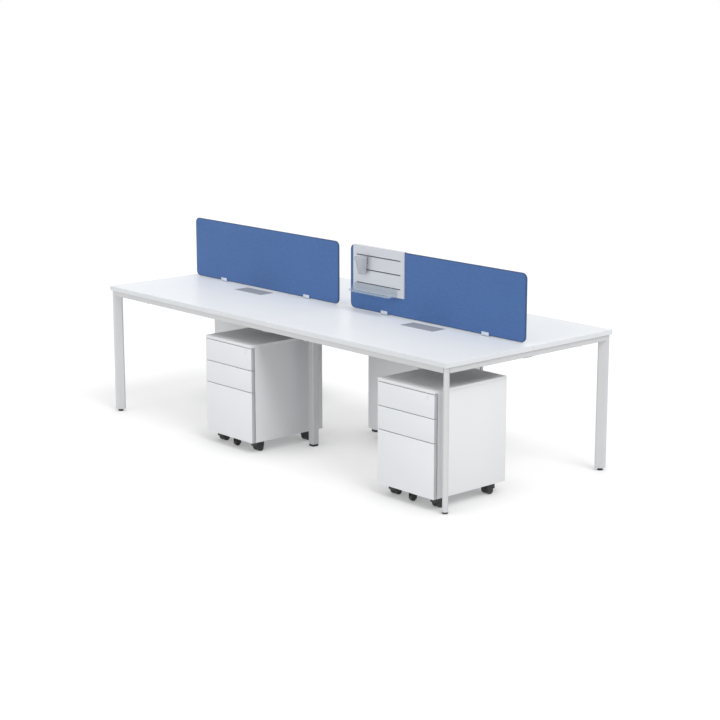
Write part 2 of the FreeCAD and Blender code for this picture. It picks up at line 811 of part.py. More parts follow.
def pedestal_nodes():
    """Solids of one pedestal, by the name that each node's own name ends in."""
    nodes = {
        "case": pedestal_case(),
        "drawer_top": top_drawer(),
        "drawer_middle": drawer_solids("middle"),
        "drawer_file": drawer_solids("file") + support_wheel_solids(),
        "lock": [lock_barrel()],
    }
    caster = caster_solids()
    for corner, (x, y, turn) in caster_places().items():
        nodes["caster_" + corner] = [placed(solid, x, y, turn) for solid in caster]
    return nodes


def pedestal_seats():
    """Place and turn of each pedestal: at the right hand of each seat, level with the desk's edge."""
    reach = pedestal_side_margin + pedestal_width / 2
    left, right = -reach, seat_length - reach
    return {
        "front_left": (left, -seat_depth, 0.0),
        "front_right": (right, -seat_depth, 0.0),
        "rear_right": (-left, seat_depth, HALF_TURN),
        "rear_left": (-right, seat_depth, HALF_TURN),
    }


def export(name, solids):
    """Write one node's solids to its file."""
    shape = solids[0] if len(solids) == 1 else Part.makeCompound(solids)
    shape.exportStep("parts/" + name + ".step")


def seat_name(side_x, side_y):
    """Name of one seat of the desk."""
    return ("front" if side_y < 0 else "rear") + "_" + ("left" if side_x < 0 else "right")


def desk_nodes():
    """Solids of the desk itself, by node name."""
    corners = [(side_x, side_y) for side_y in SIDES for side_x in SIDES]
    nodes = {
        "corner_legs": [corner_leg(side_x, side_y) for side_x, side_y in corners],
        "middle_legs": [middle_leg(side_y) for side_y in SIDES],
        "side_rails": [side_rail(side_y) for side_y in SIDES],
        "end_rails": [end_rail(side_x) for side_x in SIDES],
        "cross_beam": [cross_beam()],
        "centre_beams": [centre_beam(side_x) for side_x in SIDES],
        "levelling_feet": levelling_feet(),
        "top_screws": [top_screw(x, y, z) for x, y, z in screw_places()],
        "flap_frames": [at_seat(flap_frame(), side_x, side_y) for side_x, side_y in corners],
        "flap_pins": [at_seat(pin, side_x, side_y) for side_x, side_y in corners for pin in flap_pins()],
        "left_screen": [screen(-1)],
        "right_screen": [screen(1)],
        "screen_clips": screen_clips(),
        "tool_board": [tool_board()],
        "pen_cup": [pen_cup()],
        "letter_tray": [letter_tray()],
    }
    for side_x, side_y in corners:
        seat = seat_name(side_x, side_y)
        nodes["top_" + seat] = [desk_top(side_x, side_y)]
        nodes["flap_" + seat] = [at_seat(flap_lid(), side_x, side_y)]
    return nodes


def main():
    """Build every node and write its file."""
    os.makedirs("parts", exist_ok=True)
    for name, solids in desk_nodes().items():
        export(name, solids)
    pedestal = pedestal_nodes()
    for seat, (x, y, turn) in pedestal_seats().items():
        for name, solids in pedestal.items():
            export(seat + "_pedestal_" + name, [placed(solid, x, y, turn) for solid in solids])


main()
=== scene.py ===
"""Dresses a four-seat office bench desk with screens, a tool board and mobile drawer pedestals."""
import logging
import math
from collections.abc import Iterable, Sequence
from dataclasses import dataclass, field
from enum import Enum, IntEnum

import bmesh
import bpy
from mathutils import Matrix, Vector


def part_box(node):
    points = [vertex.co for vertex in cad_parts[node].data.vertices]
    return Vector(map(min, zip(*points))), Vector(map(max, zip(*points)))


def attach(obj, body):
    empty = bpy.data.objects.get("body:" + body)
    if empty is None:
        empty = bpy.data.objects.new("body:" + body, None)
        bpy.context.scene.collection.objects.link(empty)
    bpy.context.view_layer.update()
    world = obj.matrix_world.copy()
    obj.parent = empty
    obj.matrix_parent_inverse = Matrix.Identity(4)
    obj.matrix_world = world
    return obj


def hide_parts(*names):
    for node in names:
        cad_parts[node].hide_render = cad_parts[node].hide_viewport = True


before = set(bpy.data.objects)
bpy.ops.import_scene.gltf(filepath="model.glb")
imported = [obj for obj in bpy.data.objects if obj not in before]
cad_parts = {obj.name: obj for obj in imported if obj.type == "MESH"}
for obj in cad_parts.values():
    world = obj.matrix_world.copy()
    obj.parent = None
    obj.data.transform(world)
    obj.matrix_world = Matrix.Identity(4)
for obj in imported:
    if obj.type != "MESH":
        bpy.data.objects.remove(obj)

LOG = logging.getLogger("bench_desk")
Colour = tuple[float, float, float]
Point = tuple[float, float, float]
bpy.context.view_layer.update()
WHITE: Colour = (1.0, 1.0, 1.0)
FACING = 0.9
EDGEWISE = 0.05
SMOOTH_ANGLE = math.radians(32)
MERGE_DISTANCE = 1e-6
LEVEL = 1e-5
HALF_TURN = Matrix.Rotation(math.pi, 4, "Z")


class Seat(Enum):
    """The four seats, by the sign of X and Y where each lies."""

    FRONT_LEFT = (-1, -1)
    FRONT_RIGHT = (1, -1)
    REAR_LEFT = (-1, 1)
    REAR_RIGHT = (1, 1)

    @property
    def word(self) -> str:
        """The seat's name as the frame's nodes have it."""
        return self.name.lower()


class Drawer(Enum):
    """The three drawers of a pedestal."""

    TOP = "top"
    MIDDLE = "middle"
    FILE = "file"


class Axis(Enum):
    """The frame's three directions."""

    X = (1.0, 0.0, 0.0)
    Y = (0.0, 1.0, 0.0)
    Z = (0.0, 0.0, 1.0)


class ScreenPart(IntEnum):
    """Numbers of a screen's finishes."""

    CLOTH = 0
    BINDING = 1


class FrontPart(IntEnum):
    """Numbers of a drawer front's finishes."""

    FACE = 0
    EDGE = 1


class CasterPart(IntEnum):
    """Numbers of the finishes of casters and support wheels."""

    PLASTIC = 0
    TREAD = 1
    AXLE = 2


class Value:
    """A shader socket that takes part in Python arithmetic."""

    def __init__(self, graph: "Graph", socket: bpy.types.NodeSocket) -> None:
        """Wraps one output socket of a graph."""
        self.graph = graph
        self.socket = socket

    def _math(self, operation: str, first: "Value | float", second: "Value | float") -> "Value":
        """Adds one Math node and returns its result."""
        return self.graph.node("ShaderNodeMath", {"operation": operation}, {0: first, 1: second})

    def __add__(self, other: "Value | float") -> "Value":
        """Sum of two values."""
        return self._math("ADD", self, other)

    __radd__ = __add__

    def __sub__(self, other: "Value | float") -> "Value":
        """Difference of two values."""
        return self._math("SUBTRACT", self, other)

    def __rsub__(self, other: float) -> "Value":
        """Number less this value."""
        return self._math("SUBTRACT", other, self)

    def __mul__(self, other: "Value | float") -> "Value":
        """Product of two values."""
        return self._math("MULTIPLY", self, other)

    __rmul__ = __mul__

    def above(self, limit: float) -> "Value":
        """One where this value is above a limit, and nought elsewhere."""
        return self._math("GREATER_THAN", self, limit)

    def size(self) -> "Value":
        """This value without its sign."""
        return self._math("ABSOLUTE", self, 0.0)

    def most(self, other: "Value") -> "Value":
        """The larger of two values."""
        return self._math("MAXIMUM", self, other)

    def ramp(self, low: float, high: float) -> "Value":
        """Nought at one value and one at another, clamped outside them."""
        return self.graph.node("ShaderNodeMapRange", {}, {0: self, 1: low, 2: high, 3: 0.0, 4: 1.0})


class Graph:
    """Node tree of a material or of the world, empty at first."""

    def __init__(self, owner: bpy.types.Material | bpy.types.World) -> None:
        """Empties the owner's node tree."""
        owner.use_nodes = True
        self.tree = owner.node_tree
        self.tree.nodes.clear()

    def node(self, kind: str, settings: dict | None = None, inputs: dict | None = None,
             result: int | str = 0) -> Value:
        """Adds a node of any kind.

        Args:
            kind: the node's type name.
            settings: attributes to set first.
            inputs: socket name or number to a value, a colour or a link.
            result: the output socket to return.

        Returns:
            The chosen output as a value.
        """
        made = self.tree.nodes.new(kind)
        for key, setting in (settings or {}).items():
            setattr(made, key, setting)
        for key, given in (inputs or {}).items():
            self.feed(made.inputs[key], given)
        return Value(self, made.outputs[result])

    def close(self, kind: str, surface: Value) -> None:
        """Adds the output node and links the finished shader to it."""
        self.feed(self.tree.nodes.new(kind).inputs["Surface"], surface)

    def feed(self, socket: bpy.types.NodeSocket, given: object) -> None:
        """Links a value to a socket, or sets the socket to a number or colour.

        Args:
            socket: the input socket.
            given: a value to link, or a number, vector or colour to set.
        """
        if isinstance(given, Value):
            self.tree.links.new(given.socket, socket)
        elif isinstance(given, tuple) and len(given) == 3 and socket.type == "RGBA":
            socket.default_value = (*given, 1.0)
        else:
            socket.default_value = given

    def shade(self, **inputs: object) -> None:
        """Ends a material with one shader, whose inputs go by their names with _ for a space."""
        named = {key.replace("_", " "): given for key, given in inputs.items()}
        self.close("ShaderNodeOutputMaterial", self.node("ShaderNodeBsdfPrincipled", {}, named))

    def seen(self) -> Value:
        """One for rays of the camera, a reflection or a clear sheet, and nought for rays that light."""
        camera, mirror, clear = (self.node("ShaderNodeLightPath", result=f"Is {ray} Ray")
                                 for ray in ("Camera", "Glossy", "Transmission"))
        return camera.most(mirror).most(clear)

    def place(self) -> Value:
        """Object coordinates of the shaded point."""
        return self.node("ShaderNodeTexCoord", result="Object")

    def noise(self, scale: float, detail: float = 2.0, place: Value | None = None) -> Value:
        """Noise of a scale, about a half, on Object coordinates or on those given."""
        return self.node("ShaderNodeTexNoise", {},
                         {"Vector": place or self.place(), "Scale": scale, "Detail": detail})

    def stretched(self, scale: Point, detail: float = 3.0) -> Value:
        """Noise drawn out by a scale of its own along each axis."""
        drawn = self.node("ShaderNodeMapping", {}, {"Vector": self.place(), "Scale": scale})
        return self.noise(1.0, detail, drawn)

    def blend(self, share: Value | float, first: Colour | Value, second: Colour | Value) -> Value:
        """Mixes two colours by a share."""
        return self.node("ShaderNodeMix", {"data_type": "RGBA"}, {0: share, 6: first, 7: second}, result=2)

    def bump(self, height: Value, strength: float, distance: float) -> Value:
        """Normal raised by a height."""
        return self.node("ShaderNodeBump", {}, {"Height": height, "Strength": strength, "Distance": distance})

    def parts(self, vector: Value) -> tuple[Value, Value, Value]:
        """X, Y and Z of a vector."""
        split = self.node("ShaderNodeSeparateXYZ", {}, {0: vector}).socket.node
        return tuple(Value(self, split.outputs[number]) for number in range(3))


def tinted(colour: Colour, factor: float) -> Colour:
    """Colour made lighter or darker by a factor."""
    return tuple(min(1.0, part * factor) for part in colour)


@dataclass(frozen=True)
class Finish:
    """A named finish with one colour; each kind dresses a material in its own way."""

    name: str
    colour: Colour
    roughness: float = 0.4

    def dress(self, graph: Graph) -> None:
        """Fills the graph of a new material."""
        raise NotImplementedError

    def toned(self, graph: Graph, share: Value, tones: tuple[float, float]) -> Value:
        """The finish's colour, tinted from one factor to another by a share."""
        low, high = tones
        return graph.blend(share, tinted(self.colour, low), tinted(self.colour, high))

    def varied(self, share: Value, swing: float) -> Value:
        """Roughness that swings about the finish's own with a share about a half."""
        return share * swing + (self.roughness - swing / 2)

    def material(self) -> bpy.types.Material:
        """Makes the finish's material, or finds it where it is made already.

        Returns:
            The material.
        """
        known = bpy.data.materials.get(self.name)
        if known is not None:
            return known
        made = bpy.data.materials.new(self.name)
        self.dress(Graph(made))
        return made


@dataclass(frozen=True)
class Laminate(Finish):
    """Melamine-faced board with a fine pearl texture and faint hand marks."""

    grain: float = 1400.0
    gloss: float = 0.3
    cloud: float = 3.5
    cloud_share: float = 0.6
    marks: float = 22.0
    swing: float = 0.12
    tones: tuple[float, float] = (0.965, 1.02)
    relief: tuple[float, float] = (0.12, 0.0003)

    def face(self, graph: Graph) -> tuple[Value, Value, Value]:
        """Lays out what a face of the board shows.

        Args:
            graph: graph of the new material.

        Returns:
            The cloudy tone, the marks that hands leave and the normal of the pearl texture.
        """
        pearl = graph.noise(self.grain, detail=1.0)
        share = graph.noise(self.cloud, detail=3.0) * self.cloud_share + pearl * (1.0 - self.cloud_share)
        marks = graph.noise(self.marks, detail=4.0)
        return self.toned(graph, share, self.tones), marks, graph.bump(pearl, *self.relief)

    def dress(self, graph: Graph) -> None:
        """Fills the graph with pearl texture, cloudy tone and a soft sheen."""
        tone, marks, pearl = self.face(graph)
        graph.shade(Base_Color=tone, Roughness=self.varied(marks, self.swing), Normal=pearl,
                    Specular_IOR_Level=self.gloss)


@dataclass(frozen=True)
class TopLaminate(Laminate):
    """Board of the tops: laminate above, polished at its rim, and dark grey below as painted shade that
    darkens the space under the desk.
    """

    # Painted shade: dark grey of the tops' underside, which darkens the space under the desk.
    painted_underside_shade: Colour = (0.30, 0.30, 0.31)
    painted_underside_tones: tuple[float, float] = (0.92, 1.08)
    painted_underside_height: float = 0.72515
    rim: tuple[float, float] = (1.396, 0.596)
    rim_width: float = 0.004
    rim_share: float = 0.35
    rim_tone: float = 0.84
    rim_polish: float = 0.08

    def dress(self, graph: Graph) -> None:
        """Fills the graph with the laminate, the rim that hands polish and a dark grey underside that is
        painted shade.

        Args:
            graph: graph of the new material.
        """
        tone, marks, pearl = self.face(graph)
        x, y, z = graph.parts(graph.place())
        rubbed = (x.size() - self.rim[0]).most(y.size() - self.rim[1]).ramp(0.0, self.rim_width) * marks
        worn = graph.blend(rubbed * self.rim_share, tone, tinted(self.colour, self.rim_tone))
        # Painted shade: below the underside height the tops turn dark grey, so less light reaches what stands
        # under the desk.
        underside_shade = graph.blend(marks, *(tinted(self.painted_underside_shade, part) for part in self.painted_underside_tones))
        graph.shade(Base_Color=graph.blend(z.above(self.painted_underside_height), underside_shade, worn),
                    Roughness=self.varied(marks, self.swing) - rubbed * self.rim_polish, Normal=pearl,
                    Specular_IOR_Level=self.gloss)


@dataclass(frozen=True)
class PowderCoat(Finish):
    """Silver powder coat over metal, with a fine orange-peel, flakes and scuffs near the floor."""

    metallic: float = 0.35
    peel: float = 520.0
    flakes: float = 1600.0
    flake_share: float = 0.5
    cloud: float = 5.0
    swing: float = 0.12
    tones: tuple[float, float] = (0.95, 1.05)
    relief: tuple[float, float] = (0.15, 0.0002)
    scuff_heights: tuple[float, float] = (0.02, 0.12)
    scuff_lines: Point = (220.0, 220.0, 40.0)
    scuff_limits: tuple[float, float] = (0.55, 0.75)
    scuff_share: float = 0.5
    scuff_tone: float = 0.6
    scuff_roughness: float = 0.15

    def dress(self, graph: Graph) -> None:
        """Fills the graph with peel, flakes, cloudy tone and scuffs that fade with height.

        Args:
            graph: graph of the new material.
        """
        peel = graph.noise(self.peel)
        flakes = graph.node("ShaderNodeTexVoronoi", {}, {"Vector": graph.place(), "Scale": self.flakes})
        low = 1.0 - graph.parts(graph.place())[2].ramp(*self.scuff_heights)
        scuff = low * graph.stretched(self.scuff_lines, detail=4.0).ramp(*self.scuff_limits)
        share = graph.noise(self.cloud, detail=3.0) * (1.0 - self.flake_share) + flakes * self.flake_share
        tone = self.toned(graph, share, self.tones)
        scuffed = tinted(self.colour, self.scuff_tone)
        graph.shade(Base_Color=graph.blend(scuff * self.scuff_share, tone, scuffed),
                    Roughness=self.varied(peel, self.swing) + scuff * self.scuff_roughness,
                    Normal=graph.bump(peel, *self.relief), Metallic=self.metallic)


@dataclass(frozen=True)
class Weave(Finish):
    """Plain-woven upholstery cloth, with warp along Z and weft along X."""

    threads: float = 620.0
    waver: float = 0.6
    warp_slubs: Point = (420.0, 40.0, 50.0)
    weft_slubs: Point = (36.0, 40.0, 260.0)
    weft_share: float = 0.6
    cloud: float = 4.0
    shares: tuple[float, float, float] = (0.3, 0.6, 0.1)
    yarn_height: float = 0.7
    tones: tuple[float, float] = (0.5, 1.5)
    swing: float = 0.1
    relief: tuple[float, float] = (0.35, 0.0006)

    def _yarn(self, graph: Graph, way: str) -> Value:
        """Yarns that lie side by side along one axis."""
        return graph.node("ShaderNodeTexWave",
                          {"wave_type": "BANDS", "bands_direction": way, "wave_profile": "SIN"},
                          {"Vector": graph.place(), "Scale": self.threads, "Distortion": self.waver,
                           "Detail": 1.0}, result="Fac")

    def dress(self, graph: Graph) -> None:
        """Fills the graph with two crossing yarns, slubs and a soft nap.

        Args:
            graph: graph of the new material.
        """
        cloth = self._yarn(graph, "X") * 0.5 + self._yarn(graph, "Z") * 0.5
        warp, weft = graph.stretched(self.warp_slubs), graph.stretched(self.weft_slubs)
        slub = warp * (1.0 - self.weft_share) + weft * self.weft_share
        yarn, lump, cloud = self.shares
        share = cloth * yarn + slub * lump + graph.noise(self.cloud, detail=3.0) * cloud
        height = cloth * self.yarn_height + slub * (1.0 - self.yarn_height)
        graph.shade(Base_Color=self.toned(graph, share, self.tones), Roughness=self.varied(slub, self.swing),
                    Normal=graph.bump(height, *self.relief),
                    Sheen_Weight=0.25, Sheen_Roughness=0.5, Specular_IOR_Level=0.2)


@dataclass(frozen=True)
class Moulded(Finish):
    """Moulded plastic with a spark-eroded skin."""

    skin: float = 900.0
    wear: float = 30.0
    wear_share: float = 0.7
    swing: float = 0.16
    tones: tuple[float, float] = (0.92, 1.08)
    relief: tuple[float, float] = (0.2, 0.0002)

    def dress(self, graph: Graph) -> None:
        """Fills the graph with the mould's skin and worn, shinier spots.

        Args:
            graph: graph of the new material.
        """
        skin = graph.noise(self.skin)
        worn = graph.noise(self.wear, detail=4.0)
        tone = self.toned(graph, worn * self.wear_share + skin * (1.0 - self.wear_share), self.tones)
        graph.shade(Base_Color=tone, Roughness=self.varied(worn, self.swing),
                    Normal=graph.bump(skin, *self.relief))


@dataclass(frozen=True)
class BrushedMetal(Finish):
    """Bare metal with fine brush lines along X."""

    lines: Point = (14.0, 900.0, 900.0)
    swing: float = 0.16
    tones: tuple[float, float] = (0.88, 1.1)
    relief: tuple[float, float] = (0.1, 0.0002)

    def dress(self, graph: Graph) -> None:
        """Fills the graph with stretched brush lines."""
        lines = graph.stretched(self.lines)
        graph.shade(Base_Color=self.toned(graph, lines, self.tones), Roughness=self.varied(lines, self.swing),
                    Normal=graph.bump(lines, *self.relief), Metallic=1.0)


@dataclass(frozen=True)
class ClearSheet(Finish):
    """Clear tinted acrylic with faint scratches, too thin to bend what is seen through it."""

    body: float = 0.5
    scratches: float = 160.0
    swing: float = 0.08
    cloudiness: float = 0.1
    tones: tuple[float, float] = (0.96, 1.03)

    def dress(self, graph: Graph) -> None:
        """Fills the graph with a see-through body, cloudier where it is scratched, under a full gloss."""
        scratch = graph.noise(self.scratches, detail=5.0)
        graph.shade(Base_Color=self.toned(graph, scratch, self.tones),
                    Roughness=self.varied(scratch, self.swing),
                    Alpha=scratch * self.cloudiness + (self.body - self.cloudiness / 2), IOR=1.49)


@dataclass(frozen=True)
class Finishes:
    """Every finish of the desk."""

    top: Finish = TopLaminate("white_top_laminate", (0.82, 0.84, 0.865), 0.38, gloss=0.05)
    front: Finish = Laminate("white_front_laminate", (0.855, 0.875, 0.90), 0.36)
    case: Finish = Laminate("white_case_laminate", (0.845, 0.855, 0.875), 0.4)
    # Painted shade: the drawer fronts' side edges are darker grey than their faces, standing in for the shade
    # on them.
    edge: Finish = Laminate("pale_edge_band", (0.53, 0.54, 0.56), 0.45)
    inner: Finish = Laminate("grey_drawer_board", (0.52, 0.53, 0.55), 0.5)
    silver: Finish = PowderCoat("silver_powder_coat", (0.635, 0.64, 0.65), 0.43)
    cloth: Finish = Weave("blue_screen_cloth", (0.068, 0.156, 0.385), 0.85)
    binding: Finish = Weave("navy_edge_binding", (0.046, 0.098, 0.215), 0.8, threads=420.0)
    flap: Finish = Moulded("grey_flap_plastic", (0.36, 0.37, 0.39), 0.45)
    clip: Finish = Moulded("pale_clip_plastic", (0.68, 0.73, 0.82), 0.35)
    board: Finish = PowderCoat("pale_board_coat", (0.64, 0.66, 0.70), 0.46, metallic=0.2)
    # Painted shade: near-black colour inside the tool board's slots.
    slot_shade: Finish = Moulded("dark_groove_lining", (0.035, 0.04, 0.047), 0.6)
    cup: Finish = ClearSheet("clear_grey_acrylic", (0.58, 0.60, 0.64), 0.12, body=0.52)
    clear: Finish = ClearSheet("clear_blue_acrylic", (0.52, 0.60, 0.68), 0.10, body=0.27)
    black: Finish = Moulded("black_caster_plastic", (0.018, 0.018, 0.02), 0.45)
    tread: Finish = Moulded("dark_wheel_tread", (0.03, 0.03, 0.032), 0.6, skin=600.0)
    steel: Finish = BrushedMetal("bright_steel", (0.62, 0.62, 0.63), 0.32)
    chrome: Finish = BrushedMetal("lock_chrome", (0.76, 0.76, 0.77), 0.3)


FINISHES = Finishes()


class Maker:
    """A bmesh that grows from blocks, rods and turned profiles and becomes one piece."""

    def __init__(self) -> None:
        """Starts with nothing made."""
        self.mesh = bmesh.new()

    def _added(self, before: set, finish: int) -> list[bmesh.types.BMFace]:
        """Gives the faces made since a moment their finish number.

        Args:
            before: faces that were there at that moment.
            finish: number of the piece's finish.

        Returns:
            The faces made since.
        """
        fresh = [face for face in self.mesh.faces if face not in before]
        for face in fresh:
            face.material_index = finish
        return fresh

    def block(self, low: Sequence[float], high: Sequence[float], radius: float = 0.0, segments: int = 2,
              finish: int = 0) -> list[bmesh.types.BMFace]:
        """Makes a block with rounded edges.

        Args:
            low: one corner.
            high: the opposite corner.
            radius: edge radius.
            segments: facets across each rounded edge.
            finish: number of the piece's finish.

        Returns:
            The block's faces.
        """
        before = set(self.mesh.faces)
        first, second = Vector(low), Vector(high)
        size = Vector([abs(part) for part in second - first])
        matrix = Matrix.Translation((first + second) / 2) @ Matrix.Diagonal((*size, 1.0))
        corners = bmesh.ops.create_cube(self.mesh, size=1.0, matrix=matrix)["verts"]
        if radius > 0:
            edges = list({edge for corner in corners for edge in corner.link_edges})
            self.soften(edges, radius, segments)
        return self._added(before, finish)

    def soften(self, edges: Iterable[bmesh.types.BMEdge], radius: float, segments: int = 2) -> None:
        """Rounds edges to a radius."""
        bmesh.ops.bevel(self.mesh, geom=list(edges), offset=radius, offset_type="OFFSET", affect="EDGES",
                        segments=segments, profile=0.5, material=-1, clamp_overlap=True)

    def rod(self, start: Sequence[float], axis: Axis, radius: float, length: float, finish: int = 0,
            segments: int = 32, softness: float = 0.0) -> list[bmesh.types.BMFace]:
        """Makes a rod from a point along an axis.

        Args:
            start: centre of its first end.
            axis: direction it runs in.
            radius: its radius.
            length: its length, below nought to run the other way.
            finish: number of the piece's finish.
            segments: facets round it.
            softness: radius of its end edges.

        Returns:
            The rod's faces.
        """
        before = set(self.mesh.faces)
        along = Vector(axis.value)
        turn = Vector(Axis.Z.value).rotation_difference(along).to_matrix().to_4x4()
        middle = Matrix.Translation(Vector(start) + along * (length / 2))
        bmesh.ops.create_cone(self.mesh, cap_ends=True, segments=segments, radius1=radius, radius2=radius,
                              depth=abs(length), matrix=middle @ turn)
        if softness > 0:
            caps = [face for face in self._added(before, finish) if len(face.verts) == segments]
            self.soften({edge for cap in caps for edge in cap.edges}, softness, segments=3)
        return self._added(before, finish)

    def turned(self, profile: Sequence[tuple[float, float]], centre: Sequence[float], axis: Axis,
               finish: int = 0, steps: int = 48) -> list[bmesh.types.BMFace]:
        """Turns a profile of (radius, height) points about an axis.

        Args:
            profile: points from one end to the other; a radius of nought closes the shape.
            centre: place on the axis where height is nought.
            axis: the axis.
            finish: number of the piece's finish.
            steps: facets round it.

        Returns:
            The turned faces.
        """
        before = set(self.mesh.faces)
        origin, along = Vector(centre), Vector(axis.value)
        side = Vector(Axis.X.value) if axis is not Axis.X else Vector(Axis.Y.value)
        points = [self.mesh.verts.new(origin + side * radius + along * height) for radius, height in profile]
        lines = [self.mesh.edges.new(pair) for pair in zip(points, points[1:])]
        bmesh.ops.spin(self.mesh, geom=points + lines, cent=origin, axis=along, dvec=(0, 0, 0),
                       angle=math.tau, steps=steps, use_merge=True, use_normal_flip=False,
                       use_duplicate=False)
        corners = {corner for face in self._added(before, finish) for corner in face.verts}
        bmesh.ops.remove_doubles(self.mesh, verts=list(corners), dist=MERGE_DISTANCE)
        return self._added(before, finish)

    def moved(self, matrix: Matrix) -> "Maker":
        """Moves everything made so far."""
        bmesh.ops.transform(self.mesh, matrix=matrix, verts=self.mesh.verts)
        return self

    def piece(self, name: str, body: str, slot: str, finishes: Sequence[Finish],
              stands_for: Sequence[str] = ()) -> bpy.types.Object:
        """Makes the mesh a piece of the object.

        Args:
            name: the piece's name.
            body: the body that it rides on.
            slot: name of a material slot; not used.
            finishes: its finishes, in the order of their numbers.
            stands_for: CAD nodes that it replaces.

        Returns:
            The piece.
        """
        bmesh.ops.recalc_face_normals(self.mesh, faces=self.mesh.faces)
        data = bpy.data.meshes.new(name)
        self.mesh.to_mesh(data)
        self.mesh.free()
        for finish in finishes:
            data.materials.append(finish.material())
        data.shade_smooth()
        data.set_sharp_from_angle(angle=SMOOTH_ANGLE)
        made = bpy.data.objects.new(name, data)
        bpy.context.scene.collection.objects.link(made)
        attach(made, body)
        if stands_for:
            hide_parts(*stands_for)
        LOG.info("%s rides on %s", name, body)
        return made


def dress_node(node: str, finish: Finish) -> None:
    """Gives a CAD node's object a finish.

    Args:
        node: the node's name.
        finish: its finish.
    """
    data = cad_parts[node].data
    data.materials.clear()
    data.materials.append(finish.material())
    LOG.info("%s is dressed in %s", node, finish.name)


@dataclass
class DeskFrame:
    """Tops, rails, beams, legs and feet, which keep their CAD shapes."""

    silver_nodes: tuple[str, ...] = ("corner_legs", "middle_legs", "side_rails", "end_rails", "cross_beam",
                                     "centre_beams")

    def build(self) -> None:
        """Dresses the tops, the frame, the feet and the screws."""
        for seat in Seat:
            dress_node("top_" + seat.word, FINISHES.top)
        for node in self.silver_nodes:
            dress_node(node, FINISHES.silver)
        dress_node("levelling_feet", FINISHES.black)
        dress_node("top_screws", FINISHES.steel)


@dataclass
class Screen:
    """One padded fabric screen with a bound edge and a seam round it."""

    side: int
    corner: float = 0.030
    corner_facets: int = 12
    rim: float = 0.003
    rim_facets: int = 4
    crown: float = 0.0012
    seam_edge: float = 0.001
    seam: float = 0.0009
    body: str = "desk"
    steps: tuple[float, ...] = (0.002, 0.004, 0.006, 0.007)

    @property
    def node(self) -> str:
        """Name of the screen's CAD node."""
        return "left_screen" if self.side < 0 else "right_screen"

    def build(self) -> None:
        """Builds the padded panel."""
        low, high = (Vector(corner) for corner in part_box(self.node))
        low.y += self.crown
        high.y -= self.crown
        maker = Maker()
        maker.block(low, high)
        mesh = maker.mesh
        across = [edge for edge in mesh.edges if abs(edge.verts[0].co.y - edge.verts[1].co.y) > self.rim]
        maker.soften(across, self.corner, self.corner_facets)
        self._sew(maker)
        for face in mesh.faces:
            face.material_index = ScreenPart.BINDING
        for sign in (-1, 1):
            self._crown(mesh, sign)
        piece = maker.piece(self.node + "_cloth", self.body, "blue_fabric",
                            [FINISHES.cloth, FINISHES.binding], [self.node])

    def _sew(self, maker: Maker) -> None:
        """Rounds the rims and sinks a seam round the middle of the narrow edge.

        Args:
            maker: the panel so far.
        """
        mesh = maker.mesh
        faces = [face for face in mesh.faces if abs(face.normal.y) > FACING]
        maker.soften({edge for face in faces for edge in face.edges}, self.rim, self.rim_facets)
        mesh.normal_update()
        band = [face for face in mesh.faces if abs(face.normal.y) < EDGEWISE]
        bmesh.ops.inset_region(mesh, faces=band, thickness=self.seam_edge, depth=0.0, use_even_offset=True)
        bmesh.ops.inset_region(mesh, faces=band, thickness=self.seam / 2, depth=-self.seam,
                               use_even_offset=True)

    def _crown(self, mesh: bmesh.types.BMesh, sign: int) -> None:
        """Raises one face from its bound rim, which the first step ends, towards its middle.

        Args:
            mesh: the panel so far.
            sign: side of the face along Y.
        """
        mesh.normal_update()
        face = max(mesh.faces, key=lambda one: one.normal.y * sign * one.calc_area())
        share = self.crown / len(self.steps)
        for step in self.steps:
            bmesh.ops.inset_region(mesh, faces=[face], thickness=step, depth=share, use_even_offset=True)
            face.material_index = ScreenPart.CLOTH


@dataclass
class ScreenClips:
    """Clips that hold the screens' lower edges, each with a pinch screw."""

    centres: tuple[float, ...] = (-1.077, -0.323, 0.323, 1.077)
    half_width: float = 0.025
    base: float = 0.750
    top: float = 0.772
    web: float = 0.755
    inner: float = 0.006
    outer: float = 0.010
    web_softness: float = 0.0012
    jaw_softness: float = 0.0015
    screw_radius: float = 0.0045
    screw_reach: float = 0.0006
    screw_softness: float = 0.0003

    def build(self) -> None:
        """Builds the four clips as one piece and their screws as another."""
        maker = Maker()
        for x in self.centres:
            left, right = x - self.half_width, x + self.half_width
            maker.block((left, -self.outer, self.base), (right, self.outer, self.web), self.web_softness)
            for sign in (-1, 1):
                maker.block((left, sign * self.inner, self.base), (right, sign * self.outer, self.top),
                            self.jaw_softness, segments=3)
        maker.piece("screen_clips_moulded", "desk", "pale_plastic", [FINISHES.clip], ["screen_clips"])
        screws = Maker()
        for x in self.centres:
            for sign in (-1, 1):
                start = (x, sign * (self.outer - self.screw_reach), (self.web + self.top) / 2)
                screws.rod(start, Axis.Y, self.screw_radius, sign * 2 * self.screw_reach, segments=24,
                           softness=self.screw_softness)
        screws.piece("screen_clip_screws", "desk", "bright_steel", [FINISHES.steel])


@dataclass
class CableFlaps:
    """Cable flaps: lids, frames and hinge pins."""

    def build(self) -> None:
        """Dresses the frames, the pins and the four lids."""
        dress_node("flap_frames", FINISHES.flap)
        dress_node("flap_pins", FINISHES.steel)
        for seat in Seat:
            dress_node("flap_" + seat.word, FINISHES.flap)


